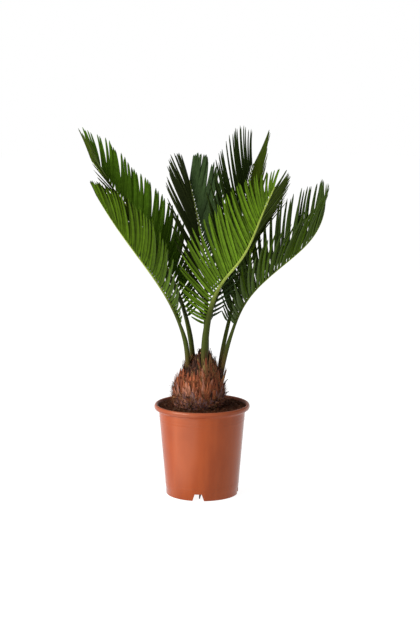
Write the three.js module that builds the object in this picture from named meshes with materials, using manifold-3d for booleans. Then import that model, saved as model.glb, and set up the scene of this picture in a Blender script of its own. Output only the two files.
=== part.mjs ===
// A young sago palm (Cycas revoluta) growing in a round plastic nursery pot.
// Millimetres, +Z up; the origin is the middle of the flat underside of the pot's hub.
// Azimuths are degrees anticlockwise from +X, leans are degrees from straight up.
import * as THREE from "three";
import { mergeVertices } from "three/addons/utils/BufferGeometryUtils.js";
import Module from "manifold-3d";

const wasm = await Module();
wasm.setup();

// ---------------------------------------------------------------- driving dimensions

const GAP = 0.3; // air left between neighbouring solids
const TINY = 0.02; // detail smaller than this is dropped from a finished solid

const POT = {
  footRadius: 72, // outside of the short upright foot band
  footHeight: 14, // from the ground to the underside of the floor
  bodyFootRadius: 72.7, // outside of the tapering wall just above the foot band
  bodyTopRadius: 85.8, // outside of the tapering wall just under the lip
  bodyTop: 167.4,
  wall: 1.9,
  floor: 2,
  lipRadius: 91.5, // middle of the rolled lip's oval section
  lipMiddle: 176.9,
  lipHalfWidth: 3.5,
  lipHalfHeight: 5.2,
  hubRadius: 10, // middle hub that the pot also stands on
  ribThick: 2,
  ribBottom: 5,
  notchCount: 4,
  ribAzimuth: -94, // the rib nearest the front
  notchTurn: -2, // how far each notch's middle stands round from its rib
  notchBottomWidth: 24,
  notchTopWidth: 14,
  notchHeight: 13.6,
  sides: 36,
};

const SOIL = {
  wallLevel: 167, // up to here it follows the pot's tapering wall
  edgeLevel: 176.5, // where its top meets the lip
  edgeRadius: 86.3,
  topLevel: 177.7, // flat top that the trunk stands on
  topRadius: 58,
  sides: 32,
};

const TRUNK = {
  x: -6.6, // middle of the trunk's foot
  topShift: 9, // how far the crown's middle lies to the right of the foot's middle
  foot: 178, // flat cut at soil level
  sides: 24,
  // radius of the core at each height above the foot
  profile: [
    [0, 47],
    [10, 50],
    [24, 51],
    [38, 49],
    [52, 43],
    [66, 38],
    [76, 32],
    [86, 22],
    [97, 12],
    [108, 5],
  ],
  tip: 113,
};

// Old leaf bases, laid like roof tiles up the trunk, and upright woolly scales round its tip.
const SCALES = {
  count: 56,
  firstHeight: 5,
  lastHeight: 74,
  length: [24, 28], // at the foot, at the top
  halfWidth: [11, 8],
  halfThick: 3.4,
  sunk: 3,
  tilt: [24, 17], // degrees out from the surface, at the foot and at the top
};
const TIP_SCALES = {
  count: 20,
  firstHeight: 70,
  lastHeight: 98,
  length: [32, 22],
  halfWidth: [6, 3.4],
  halfThick: 2.6,
  sunk: 4,
  tilt: [14, 5],
};

// Every frond follows one rule: a rib that leans by five even steps from foot to tip, and leaflets
// in two raised wings. bare is the length of stalk below them, girth a share of the common rib's
// width, and roll turns the wings about the rib, read from foot to tip. The other lists run from
// the lowest leaflet to the highest: rise is how far each wing stands up from flat, angle is the
// leaflet's angle to the rib, and lengths are shares of the longest leaflet. bend is how far a
// leaflet curves forward.
const FRONDS = [
  {
    name: "frond_right_front",
    foot: [4.9, -22, 264],
    azimuth: -50,
    length: 432,
    lean: [-2, 19.2, 49.1, 30, 34.6],
    bare: 84,
    girth: 1.16,
    leaflet: 142,
    roll: [4, 4, -7, -12],
    rise: [24, 46, 30, 8],
    angle: [72, 59, 50, 46, 38, 12],
    bend: 12,
    lengths: [0.24, 0.64, 0.92, 1, 0.94, 0.82, 0.68, 0.5, 0.3],
  },
  {
    name: "frond_left_front",
    foot: [-28.6, -14, 258.4],
    azimuth: 198,
    length: 395.7,
    lean: [-2, 23.2, 35.3, 35.7, 29.5],
    bare: 94,
    girth: 0.9,
    leaflet: 118,
    roll: [-10, -3],
    rise: [10, 46, 34],
    angle: [72, 50, 14],
    bend: 16,
    lengths: [0.22, 0.62, 0.9, 1, 0.98, 0.9, 0.78, 0.56, 0.27],
  },
  {
    name: "frond_right",
    foot: [39, -6, 247.5],
    azimuth: 0,
    length: 401.8,
    lean: [10.6, 20.5, 46.7, 46, 4.2],
    bare: 100,
    girth: 0.8,
    leaflet: 138,
    roll: [4, 12, 14, 2],
    rise: [34, 50, 48, 14],
    angle: [72, 60, 48, 26],
    bend: 10,
    lengths: [0.22, 0.6, 0.88, 1, 0.98, 0.94, 0.84, 0.64, 0.32],
  },
  {
    name: "frond_left_back",
    foot: [-17.8, 8, 252],
    azimuth: 162,
    length: 472,
    lean: [1, 17, 32.2, 39, 40.1],
    bare: 103,
    girth: 0.9,
    leaflet: 110,
    roll: [-6, -18, -25, -8],
    rise: [30, 28, 28, 78],
    angle: [72, 54, 48, 43, 39, 26],
    bend: 12,
    lengths: [0.22, 0.62, 0.9, 0.96, 0.94, 0.9, 0.84, 0.78, 0.66],
  },
  {
    name: "frond_back_right",
    foot: [34.3, 10, 243.6],
    azimuth: 60,
    length: 431.1,
    lean: [14, 27.4, 12, 13.8, 31.3],
    bare: 105,
    girth: 0.66,
    leaflet: 180,
    roll: [24, 17],
    rise: [64, 60, 44],
    angle: [72, 40, 27],
    bend: 17,
    lengths: [0.16, 0.5, 0.84, 1, 0.98, 0.92, 0.82, 0.62, 0.36],
  },
  {
    name: "frond_back",
    foot: [7.9, 16, 256.5],
    azimuth: 104,
    length: 407.1,
    lean: [-1.2, 0.3, 18.8, 45.6, 44.3],
    bare: 95,
    girth: 0.9,
    leaflet: 150,
    roll: [7, 2],
    rise: [48, 26, 64],
    angle: [71, 34, 33],
    bend: 14,
    lengths: [0.2, 0.6, 0.9, 1, 0.98, 0.92, 0.82, 0.62, 0.36],
  },
];
const RIB = {
  sunk: 13, // length of stalk held in the trunk
  width: [14, 12, 7, 4.8, 3.4, 2.2], // from the foot to the tip, evenly spaced
  thickShare: 0.84,
  sides: 6,
  steps: 13,
};
const LEAFLET = {
  pairs: 24,
  lastAt: 0.985, // share of the leafy rib at which the last pair stands
  halfWidth: [2.2, 5], // least and most, set between them by the room beside the next leaflet
  roomShare: 0.42, // share of that room which half a leaflet fills
  rootShare: 0.55, // width at the root, as a share of the width half way along
  halfThick: 1.25,
  sides: 3, // a flat blade with a keel
  steps: 6, // steps of the forward curve
  rows: 2, // rows of faces from root to tip
  shorten: 0.12, // share taken off at each try where a leaflet would touch another frond
  shortest: 0.3,
  clear: 0.45, // room tested round each leaflet
};

const COLOURS = {
  pot: 0xb5603c,
  soil: 0x2b1f18,
  trunk: 0x8a5238,
  frond: 0x5f7a1e,
};

// ---------------------------------------------------------------- small tools

const radians = THREE.MathUtils.degToRad;

// A seeded run of even random numbers from 0 to 1.
function dice(seed) {
  let state = seed >>> 0;
  return () => {
    state = (Math.imul(state, 1664525) + 1013904223) >>> 0;
    return state / 4294967296;
  };
}

// A smooth curve through evenly spaced values, read at share s from 0 to 1.
function along(values, s) {
  const last = values.length - 1;
  const place = THREE.MathUtils.clamp(s, 0, 1) * last;
  const i = Math.min(Math.floor(place), last - 1);
  const f = place - i;
  const p1 = values[i];
  const p2 = values[i + 1];
  const p0 = i > 0 ? values[i - 1] : 2 * p1 - p2;
  const p3 = i + 2 <= last ? values[i + 2] : 2 * p2 - p1;
  const square = (2 * p0 - 5 * p1 + 4 * p2 - p3) * f * f;
  const cube = (3 * p1 - p0 - 3 * p2 + p3) * f * f * f;
  return 0.5 * (2 * p1 + (p2 - p0) * f + square + cube);
}

function solidOf(geometry) {
  geometry.deleteAttribute("normal");
  geometry.deleteAttribute("uv");
  const merged = mergeVertices(geometry, 1e-4);
  return new wasm.Manifold(
    new wasm.Mesh({
      numProp: 3,
      vertProperties: merged.attributes.position.array,
      triVerts: new Uint32Array(merged.index.array),
    }),
  );
}

// Edges shorter than TINY are closed up, so that no sliver is left where solids were joined.
function geometryOf(solid) {
  const mesh = solid.simplify(TINY).getMesh();
  const geometry = new THREE.BufferGeometry();
  const positions = new Float32Array(mesh.vertProperties);
  geometry.setAttribute("position", new THREE.BufferAttribute(positions, 3));
  geometry.setIndex(new THREE.BufferAttribute(new Uint32Array(mesh.triVerts), 1));
  geometry.computeVertexNormals();
  return geometry;
}

function joined(solids) {
  return solids.reduce((all, one) => all.add(one));
}

function largestBody(solid) {
  return solid.decompose().reduce((a, b) => (a.volume() > b.volume() ? a : b));
}

// A profile of [radius, height] points turned about the Z axis.
function turned(profile, sides) {
  const points = profile.map(([radius, height]) => new THREE.Vector2(radius, height));
  return new THREE.LatheGeometry(points, sides).rotateX(Math.PI / 2);
}

// A rod or a pointed blade: a cylinder or cone whose rings are moved onto the frames that
// frameAt(t) gives from root to tip, with their half width and half thickness.
function grown(shape, frameAt) {
  const places = shape.attributes.position;
  const point = new THREE.Vector3();
  for (let i = 0; i < places.count; i += 1) {
    const frame = frameAt(places.getY(i) + 0.5);
    point
      .copy(frame.middle)
      .addScaledVector(frame.side, places.getX(i) * frame.halfWidth)
      .addScaledVector(frame.face, places.getZ(i) * frame.halfThick);
    places.setXYZ(i, point.x, point.y, point.z);
  }
  return shape;
}

// ---------------------------------------------------------------- pot

function wallRadius(height) {
  const share = (height - POT.footHeight) / (POT.bodyTop - POT.footHeight);
  return POT.bodyFootRadius + (POT.bodyTopRadius - POT.bodyFootRadius) * share;
}

function potShell() {
  const skirtInside = POT.footRadius - POT.wall;
  const floorTop = POT.footHeight + POT.floor;
  const underside = [
    [0, 0],
    [POT.hubRadius, 0],
    [POT.hubRadius + 0.6, POT.footHeight],
    [skirtInside - 0.6, POT.footHeight],
    [skirtInside, 0.6],
    [skirtInside + 0.6, 0],
  ];
  const outside = [
    [POT.footRadius - 0.8, 0],
    [POT.footRadius, 0.9],
    [POT.footRadius + 0.2, POT.footHeight - 1],
    [POT.bodyFootRadius, POT.footHeight],
    [POT.bodyTopRadius, POT.bodyTop],
  ];
  const lip = [-150, -95, -45, 0, 45, 95, 145].map((degrees) => [
    POT.lipRadius + POT.lipHalfWidth * Math.cos(radians(degrees)),
    POT.lipMiddle + POT.lipHalfHeight * Math.sin(radians(degrees)),
  ]);
  const inside = [
    [POT.lipRadius - POT.lipHalfWidth - 0.6, POT.lipMiddle],
    [POT.bodyTopRadius - POT.wall, POT.bodyTop],
    [wallRadius(floorTop) - POT.wall, floorTop + 1],
    [wallRadius(floorTop) - POT.wall - 1, floorTop],
    [0, floorTop],
  ];
  return solidOf(turned([...underside, ...outside, ...lip, ...inside], POT.sides));
}

// Radial ribs under the floor, from the hub to the skirt.
function potRib(azimuth) {
  const inner = POT.hubRadius - 1;
  const outer = POT.footRadius - POT.wall / 2;
  const tall = POT.footHeight + POT.floor / 2 - POT.ribBottom;
  const bar = new THREE.BoxGeometry(outer - inner, POT.ribThick, tall);
  bar.translate((outer + inner) / 2, 0, POT.ribBottom + tall / 2);
  return solidOf(bar.rotateZ(radians(azimuth)));
}

// A drain notch cut up into the foot band, narrower at its top.
function potNotch(azimuth) {
  const below = 2;
  const slope = (POT.notchBottomWidth - POT.notchTopWidth) / 2 / POT.notchHeight;
  const shape = new THREE.Shape();
  shape.moveTo(-POT.notchBottomWidth / 2 - slope * below, -below);
  shape.lineTo(POT.notchBottomWidth / 2 + slope * below, -below);
  shape.lineTo(POT.notchTopWidth / 2, POT.notchHeight);
  shape.lineTo(-POT.notchTopWidth / 2, POT.notchHeight);
  const depth = 8; // from inside the skirt to outside it
  const cutter = new THREE.ExtrudeGeometry(shape, { depth, bevelEnabled: false });
  cutter.rotateX(Math.PI / 2).rotateZ(Math.PI / 2);
  cutter.translate(POT.footRadius - POT.wall - depth / 2, 0, 0);
  return solidOf(cutter.rotateZ(radians(azimuth)));
}

function potSolid() {
  let pot = potShell();
  for (let i = 0; i < POT.notchCount; i += 1) {
    const azimuth = POT.ribAzimuth + (360 / POT.notchCount) * i;
    pot = pot.add(potRib(azimuth));
    pot = pot.subtract(potNotch(azimuth + POT.notchTurn));
  }
  return pot;
}

// ---------------------------------------------------------------- soil

function soilSolid() {
  const low = POT.footHeight + POT.floor + GAP;
  const inner = (height) => wallRadius(height) - POT.wall - 2 * GAP;
  const middle = (SOIL.topRadius + SOIL.edgeRadius) / 2;
  const profile = [
    [0, low],
    [inner(low) - 1, low],
    [inner(SOIL.wallLevel), SOIL.wallLevel],
    [SOIL.edgeRadius, SOIL.edgeLevel],
    [middle, (SOIL.edgeLevel + 2 * SOIL.topLevel) / 3],
    [SOIL.topRadius, SOIL.topLevel],
    [0, SOIL.topLevel],
  ];
  return solidOf(turned(profile, SOIL.sides));
}

// ---------------------------------------------------------------- trunk

function trunkRadius(height) {
  const rows = TRUNK.profile;
  const above = rows.findIndex(([h]) => h >= height);
  if (above < 0) return 0;
  if (above === 0) return rows[0][1];
  const [h0, r0] = rows[above - 1];
  const [h1, r1] = rows[above];
  return r0 + ((r1 - r0) * (height - h0)) / (h1 - h0);
}

function trunkAxis(height) {
  return TRUNK.x + TRUNK.topShift * THREE.MathUtils.smoothstep(height, 30, 90);
}

function trunkCore() {
  const profile = [
    [0, 0],
    ...TRUNK.profile.map(([height, radius]) => [radius, height]),
    [0, TRUNK.tip],
  ];
  const core = turned(profile, TRUNK.sides);
  const places = core.attributes.position;
  for (let i = 0; i < places.count; i += 1) {
    const height = places.getZ(i);
    places.setX(i, places.getX(i) + trunkAxis(height));
    places.setZ(i, height + TRUNK.foot);
  }
  return solidOf(core);
}

// One scale: a four-sided point that stands out of the trunk's side, tip up.
function scaleBlade(height, azimuth, share, sizes, luck) {
  const radius = trunkRadius(height);
  const slope = (trunkRadius(height + 4) - radius) / 4;
  const out = new THREE.Vector3(Math.cos(azimuth), Math.sin(azimuth), 0);
  const up = new THREE.Vector3(out.x * slope, out.y * slope, 1).normalize();
  const side = new THREE.Vector3(-out.y, out.x, 0);
  const normal = new THREE.Vector3().crossVectors(side, up);
  const between = ([first, last]) => THREE.MathUtils.lerp(first, last, share);
  const tilt = radians(between(sizes.tilt) + 8 * (luck() - 0.5));
  const point = up.clone().multiplyScalar(Math.cos(tilt)).addScaledVector(normal, Math.sin(tilt));
  const face = new THREE.Vector3().crossVectors(side, point);
  const length = between(sizes.length) * (0.85 + 0.3 * luck());
  const halfWidth = between(sizes.halfWidth);
  const root = new THREE.Vector3(trunkAxis(height), 0, TRUNK.foot + height)
    .addScaledVector(out, radius)
    .addScaledVector(normal, -sizes.sunk);
  return solidOf(
    grown(new THREE.ConeGeometry(1, 1, 4, 1), (t) => ({
      middle: root.clone().addScaledVector(point, t * length),
      side,
      face,
      halfWidth,
      halfThick: sizes.halfThick,
    })),
  );
}

function scaleRun(sizes, seed) {
  const luck = dice(seed);
  const goldenAngle = Math.PI * (3 - Math.sqrt(5));
  const blades = [];
  for (let i = 0; i < sizes.count; i += 1) {
    const share = (i + 0.5) / sizes.count;
    const height = THREE.MathUtils.lerp(sizes.firstHeight, sizes.lastHeight, share);
    blades.push(scaleBlade(height, i * goldenAngle + 0.3 * luck(), share, sizes, luck));
  }
  return blades;
}

function trunkSolid(stalks) {
  let trunk = joined([trunkCore(), ...scaleRun(SCALES, 7), ...scaleRun(TIP_SCALES, 11)]);
  const ground = new THREE.BoxGeometry(400, 400, 100).translate(0, 0, TRUNK.foot - 50);
  trunk = trunk.subtract(solidOf(ground));
  for (const stalk of stalks) trunk = trunk.subtract(stalk);
  return largestBody(trunk);
}

// ---------------------------------------------------------------- fronds

// The rib of a frond: points, directions and wing frames at even steps.
function ribCurve(frond) {
  const steps = 160;
  const points = [new THREE.Vector3(...frond.foot)];
  const frames = [];
  const azimuth = radians(frond.azimuth);
  const out = new THREE.Vector3(Math.cos(azimuth), Math.sin(azimuth), 0);
  for (let i = 0; i < steps; i += 1) {
    const s = (i + 0.5) / steps;
    const lean = radians(along(frond.lean, s));
    const roll = radians(along(frond.roll, s));
    const ahead = out.clone().multiplyScalar(Math.sin(lean));
    ahead.z = Math.cos(lean);
    const inner = out.clone().multiplyScalar(-Math.cos(lean));
    inner.z = Math.sin(lean);
    const across = new THREE.Vector3().crossVectors(ahead, inner);
    const face = inner.multiplyScalar(Math.cos(roll)).addScaledVector(across, Math.sin(roll));
    const side = new THREE.Vector3().crossVectors(ahead, face);
    frames.push({ ahead, face, side });
    points.push(points[i].clone().addScaledVector(ahead, frond.length / steps));
  }
  return { points, frames, steps, length: frond.length };
}

// Place and frame at a distance along the rib; below the foot it runs straight on.
function ribAt(rib, distance) {
  const place = (distance / rib.length) * rib.steps;
  const i = THREE.MathUtils.clamp(Math.floor(place), 0, rib.steps - 1);
  const frame = rib.frames[i];
  const onward = ((place - i) * rib.length) / rib.steps;
  const middle = rib.points[i].clone().addScaledVector(frame.ahead, onward);
  return { middle, ...frame };
}

function ribHalfWidth(frond, distance) {
  return (along(RIB.width, distance / frond.length) / 2) * frond.girth;
}

// The stalk and rib as one tapering rod, fatter by extra all round.
function ribSolid(frond, rib, extra) {
  const rod = new THREE.CylinderGeometry(1, 1, 1, RIB.sides, RIB.steps);
  const start = -RIB.sunk - extra;
  return solidOf(
    grown(rod, (t) => {
      const distance = THREE.MathUtils.lerp(start, frond.length, t);
      const { middle, side, face } = ribAt(rib, distance);
      const halfWidth = ribHalfWidth(frond, distance);
      const halfThick = halfWidth * RIB.thickShare + extra;
      return { middle, side, face, halfWidth: halfWidth + extra, halfThick };
    }),
  );
}

// One leaflet's middle line, from inside the rib to its tip, on one side (1 or -1) at share u.
function leafletLine(frond, rib, u, hand, scale) {
  const distance = frond.bare + (frond.length - frond.bare) * u;
  const { middle, ahead, face, side } = ribAt(rib, distance);
  const rise = radians(along(frond.rise, u));
  const away = side
    .clone()
    .multiplyScalar(hand * Math.cos(rise))
    .addScaledVector(face, Math.sin(rise));
  const length = frond.leaflet * along(frond.lengths, u) * scale;
  const startAngle = along(frond.angle, u);
  const points = [middle.clone()];
  for (let i = 0; i < LEAFLET.steps; i += 1) {
    const turn = (frond.bend * (i + 0.5)) / LEAFLET.steps;
    const angle = radians(startAngle - turn);
    const step = ahead
      .clone()
      .multiplyScalar(Math.cos(angle))
      .addScaledVector(away, Math.sin(angle));
    points.push(points[i].clone().addScaledVector(step, length / LEAFLET.steps));
  }
  const pitch = (frond.length - frond.bare) / (LEAFLET.pairs - 1);
  const room = pitch * Math.sin(radians(startAngle));
  const [least, most] = LEAFLET.halfWidth;
  const halfWidth = THREE.MathUtils.clamp(room * LEAFLET.roomShare, least, most);
  return { points, ahead, halfWidth };
}

function leafletBlade(line, extra) {
  const { points, ahead, halfWidth } = line;
  const last = LEAFLET.steps;
  const blade = new THREE.ConeGeometry(1, 1, LEAFLET.sides, LEAFLET.rows);
  const reach = points[last].clone().sub(points[0]).normalize();
  const side = ahead.clone().addScaledVector(reach, -ahead.dot(reach)).normalize();
  const face = new THREE.Vector3().crossVectors(side, reach);
  return solidOf(
    grown(blade, (t) => {
      const place = t * last;
      const i = Math.min(Math.floor(place), last - 1);
      const middle = points[i].clone().lerp(points[i + 1], place - i);
      middle.addScaledVector(reach, extra * (2 * t - 1));
      // the cone's own taper is undone up to half way, so the blade is widest there
      const taper = Math.max(1 - t, 0.5);
      const share = LEAFLET.rootShare + (1 - LEAFLET.rootShare) * Math.min(1, 2 * t);
      return {
        middle,
        side,
        face,
        halfWidth: (halfWidth * share + 2 * extra) / taper,
        halfThick: (LEAFLET.halfThick + 2 * extra) / taper,
      };
    }),
  );
}

function boxesMeet(a, b) {
  return [0, 1, 2].every((k) => a.min[k] <= b.max[k] && b.min[k] <= a.max[k]);
}

function touchesAny(solid, others) {
  const box = solid.boundingBox();
  return others.some(
    (other) => boxesMeet(box, other.boundingBox()) && solid.intersect(other).numTri() > 0,
  );
}

// The longest leaflet that keeps clear of the other fronds, or null where there is no room.
function fittedLeaflet(frond, rib, u, hand, others) {
  for (let scale = 1; scale >= LEAFLET.shortest; scale -= LEAFLET.shorten) {
    const line = leafletLine(frond, rib, u, hand, scale);
    if (!touchesAny(leafletBlade(line, LEAFLET.clear), others)) return leafletBlade(line, 0);
  }
  return null;
}

// All leaflets of one frond on its rib, joined into one solid.
function frondSolid(frond, rib, ribRod, others) {
  const pieces = [ribRod];
  for (let i = 0; i < LEAFLET.pairs; i += 1) {
    const u = (LEAFLET.lastAt * i) / (LEAFLET.pairs - 1);
    for (const hand of [1, -1]) {
      const blade = fittedLeaflet(frond, rib, u, hand, others);
      if (blade) pieces.push(blade);
    }
  }
  return largestBody(joined(pieces));
}

function frondSolids(ribs, rods, trunk) {
  const done = [];
  FRONDS.forEach((frond, i) => {
    const otherRods = rods.filter((_, k) => k !== i);
    done.push(frondSolid(frond, ribs[i], rods[i], [trunk, ...otherRods, ...done]));
  });
  return done;
}

// ---------------------------------------------------------------- the plant

const plant = new THREE.Group();

function place(name, solid, colour, roughness) {
  const material = new THREE.MeshStandardMaterial({ color: colour, roughness, metalness: 0 });
  const mesh = new THREE.Mesh(geometryOf(solid), material);
  mesh.name = name;
  plant.add(mesh);
}

const ribs = FRONDS.map(ribCurve);
const rods = FRONDS.map((frond, i) => ribSolid(frond, ribs[i], 0));
const sockets = FRONDS.map((frond, i) => ribSolid(frond, ribs[i], GAP));
const trunk = trunkSolid(sockets);

place("pot", potSolid(), COLOURS.pot, 0.45);
place("soil", soilSolid(), COLOURS.soil, 0.95);
place("trunk", trunk, COLOURS.trunk, 0.9);
frondSolids(ribs, rods, trunk).forEach((solid, i) => {
  place(FRONDS[i].name, solid, COLOURS.frond, 0.5);
});

export default plant;
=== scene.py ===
# %% [markdown]
# # A young sago palm in a nursery pot
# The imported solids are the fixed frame: they say where everything stands and how big it is. This
# lesson grows the fine plant around them, one kind of piece at a time: the pot, its compost, the
# shaggy trunk, and six fronds whose ribs and leaflets follow one rule.

# %% The frame
import itertools
import math

import bpy
import numpy as np
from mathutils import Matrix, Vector


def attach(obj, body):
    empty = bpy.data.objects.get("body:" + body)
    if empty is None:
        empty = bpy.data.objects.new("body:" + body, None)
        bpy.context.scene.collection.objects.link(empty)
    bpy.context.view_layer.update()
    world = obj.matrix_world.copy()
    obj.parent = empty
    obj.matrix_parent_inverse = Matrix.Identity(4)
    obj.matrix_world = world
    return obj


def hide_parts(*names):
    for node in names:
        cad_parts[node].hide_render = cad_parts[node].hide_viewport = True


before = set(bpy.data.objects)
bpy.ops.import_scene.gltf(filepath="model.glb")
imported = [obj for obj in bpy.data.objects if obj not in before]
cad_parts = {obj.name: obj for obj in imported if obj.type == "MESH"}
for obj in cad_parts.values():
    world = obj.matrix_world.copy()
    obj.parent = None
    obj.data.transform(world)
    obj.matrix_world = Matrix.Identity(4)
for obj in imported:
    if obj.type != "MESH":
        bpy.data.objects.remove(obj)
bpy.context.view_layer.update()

BODY = "root"
print("nodes in the frame:", sorted(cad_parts))

# %% [markdown]
# ## Shader sums written as Python
# A node tree is easier to read as a sum. One small class wraps an output socket and overloads the
# operators, so that `1 - mask * 0.5` adds its own Math nodes. Every other node comes from one
# method that takes the node's type, its settings, and the values or links of its sockets.

# %% A socket that can be reckoned with
class Wire:
    """One output socket of a finish, with arithmetic that adds Math nodes."""

    def __init__(self, finish, node, output=0):
        self.finish = finish
        self.socket = node.outputs[output]

    def _sum(self, operation, first, second):
        return self.finish.add("Math", {"operation": operation}, {0: first, 1: second})

    def __add__(self, other):
        return self._sum("ADD", self, other)

    def __rsub__(self, other):
        return self._sum("SUBTRACT", other, self)

    def __mul__(self, other):
        return self._sum("MULTIPLY", self, other)


# %% A finish: one material, or the sky, and its tree
def paint(red, green, blue):
    """A colour as a screen shows it, 0 to 255, as the light values that shaders use."""
    shares = [c / 255 for c in (red, green, blue)]
    return tuple(((s + 0.055) / 1.055) ** 2.4 if s > 0.04 else s / 12.92 for s in shares)


class Finish:
    """A material, or a world, whose nodes are all added by one method."""

    def __init__(self, name, world=False):
        self.block = (bpy.data.worlds if world else bpy.data.materials).new(name)
        self.block.use_nodes = True
        self.tree = self.block.node_tree
        self.shader = self.tree.nodes["Background" if world else "Principled BSDF"]

    def plug(self, socket, value):
        if isinstance(value, Wire):
            self.tree.links.new(value.socket, socket)
        elif isinstance(value, tuple) and socket.type == "RGBA":
            socket.default_value = (*value, 1)
        else:
            socket.default_value = value

    def add(self, kind, settings=None, sockets=None, output=0):
        node = self.tree.nodes.new("ShaderNode" + kind)
        for name, value in (settings or {}).items():
            if name == "stops":
                for element, (place, shade) in zip(node.color_ramp.elements, value):
                    element.position = place
                    element.color = (shade, shade, shade, 1)
            else:
                setattr(node, name, value)
        for key, value in (sockets or {}).items():
            self.plug(node.inputs[key], value)
        return Wire(self, node, output)

    def here(self, stretch=(1, 1, 1)):
        """The place in the object's own metres, times stretch."""
        place = self.add("TexCoord", output="Object")
        return self.add("VectorMath", {"operation": "MULTIPLY"}, {0: place, 1: stretch})

    def reach(self, axis):
        """Metres along an axis: along Z, above the ground."""
        return self.add("SeparateXYZ", sockets={0: self.here()}, output=axis)

    def noise(self, scale, detail=3.0, stretch=(1, 1, 1), rough=0.5):
        """Cloudy noise, squeezed where stretch is above 1."""
        place = self.here(stretch)
        sockets = {"Vector": place, "Scale": scale, "Detail": detail, "Roughness": rough}
        return self.add("TexNoise", sockets=sockets)

    def ramp(self, value, low, high):
        """0 below low, 1 above high, straight between."""
        return self.add("ValToRGB", {"stops": [(low, 0), (high, 1)]}, {0: value})

    def mix(self, first, second, share):
        return self.add("Mix", {"data_type": "RGBA"}, {0: share, 6: first, 7: second}, output=2)

    def bump(self, height, strength, distance):
        sockets = {"Height": height, "Strength": strength, "Distance": distance}
        self.plug(self.shader.inputs["Normal"], self.add("Bump", sockets=sockets))

    def wear(self, base_color, roughness, shine, shine_tint=(1, 1, 1)):
        """Puts the colour, the roughness, and the strength and tint of its shine on the shader."""
        self.plug(self.shader.inputs["Base Color"], base_color)
        self.plug(self.shader.inputs["Roughness"], roughness)
        self.shader.inputs["Specular IOR Level"].default_value = shine
        self.shader.inputs["Specular Tint"].default_value = (*shine_tint, 1)
        return self.block


def speckled(name, light, dark, scale, roughness, edges=(0.35, 0.65), relief=None, shine=0.15):
    """Two rough tones parted by fine noise. relief is the strength and depth of its bump."""
    finish = Finish(name)
    specks = finish.noise(scale)
    tone = finish.mix(paint(*light), paint(*dark), finish.ramp(specks, *edges))
    if relief:
        finish.bump(specks, *relief)
    return finish.wear(tone, roughness - specks * 0.1, shine)


print("mid grey paints as", round(paint(128, 128, 128)[0], 3))

# %% [markdown]
# ## Meshes from arrays
# Most of the plant is many copies of one idea: rings of points, joined in rows. `loft` takes an
# array of tubes, each made of rings, and gives the faces of all of them at once. That is far
# quicker than adding faces one by one, and a whole kind of thing becomes one piece. All points
# are in millimetres until a piece is made of them.

# %% Mesh helpers
MM = 0.001
TURN = 2 * math.pi
UP = np.array([0.0, 0.0, 1.0])


def loft(rings):
    """Points and faces of closed tubes. rings is (tubes, rows, points round, 3), each ring
    going anticlockwise as seen from the tube's tip."""
    at = np.arange(rings[..., 0].size).reshape(rings.shape[:3])
    onward = np.roll(at, -1, 2)
    corners = at[:, :-1], onward[:, :-1], onward[:, 1:], at[:, 1:]
    walls = np.stack(corners, -1).reshape(-1, 4).tolist()
    return rings.reshape(-1, 3), walls + at[:, 0, ::-1].tolist() + at[:, -1].tolist()


def loft_tints(walls):
    """Material numbers for loft's faces, from those of its walls (tubes, rows - 1, points)."""
    return np.concatenate([walls.reshape(-1), walls[:, 0, 0], walls[:, -1, 0]])


def stand(name, data):
    """A new object in the scene, from its mesh, light or camera."""
    thing = bpy.data.objects.new(name, data)
    bpy.context.scene.collection.objects.link(thing)
    return thing


def make_piece(name, shape, finishes, tints=None, sharp=40):
    """An object from (points, faces), smooth except at edges sharper than the angle."""
    points, faces = shape
    mesh = bpy.data.meshes.new(name)
    mesh.from_pydata((points * MM).tolist(), [], faces)
    for finish in finishes:
        mesh.materials.append(finish)
    if tints is not None:
        mesh.polygons.foreach_set("material_index", np.asarray(tints, np.int32))
    smooth_over(mesh, sharp)
    mesh.validate()
    return stand(name, mesh)


def smooth_over(mesh, sharp):
    mesh.polygons.foreach_set("use_smooth", [True] * len(mesh.polygons))
    mesh.update()
    mesh.set_sharp_from_angle(angle=math.radians(sharp))


def settle(piece, slot, *nodes):
    """Every piece rides on the plant's one body, and may stand for solids of the frame."""
    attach(piece, BODY)
    if nodes:
        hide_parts(*nodes)
    triangles = sum(len(face.vertices) - 2 for face in piece.data.polygons)
    print(f"{piece.name}: {triangles} triangles")


# %% Small sums on arrays
def unit(vectors):
    return vectors / np.maximum(np.linalg.norm(vectors, axis=-1, keepdims=True), 1e-9)


def full_turn(sides):
    """Angles that share out a circle."""
    return np.arange(sides) * TURN / sides


def polar(radius, turn, height):
    """Points from their distance to the upright axis, their turn about it and their height."""
    return np.stack(np.broadcast_arrays(radius * np.cos(turn), radius * np.sin(turn), height), -1)


def along(values, s):
    """A smooth curve through evenly spaced values, read at shares s from 0 to 1."""
    padded = np.array([2 * values[0] - values[1], *values, 2 * values[-1] - values[-2]], float)
    place = np.clip(s, 0, 1) * (len(values) - 1)
    i = np.minimum(place.astype(int), len(values) - 2)
    f = place - i
    p0, p1, p2, p3 = padded[i], padded[i + 1], padded[i + 2], padded[i + 3]
    square = (2 * p0 - 5 * p1 + 4 * p2 - p3) * f**2
    cube = (3 * p1 - p0 - 3 * p2 + p3) * f**3
    return 0.5 * (2 * p1 + (p2 - p0) * f + square + cube)


def eased(share):
    share = np.clip(share, 0, 1)
    return share * share * (3 - 2 * share)


print("a curve through 0, 1, 4 reads", along([0, 1, 4], np.array([0.75]))[0], "at three quarters")

# %% [markdown]
# ## The pot
# A nursery pot is injection moulded: a thin tapering wall, a rolled lip, a shallow foot band with
# drain notches, and faint rings where the mould's parts met. A profile turned about the axis
# gives all of it, fine enough to need no subdivision, and `loft` closes it in the middle. The
# notches are cut afterwards with a Boolean, as they are the only thing that isn't round.

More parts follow.
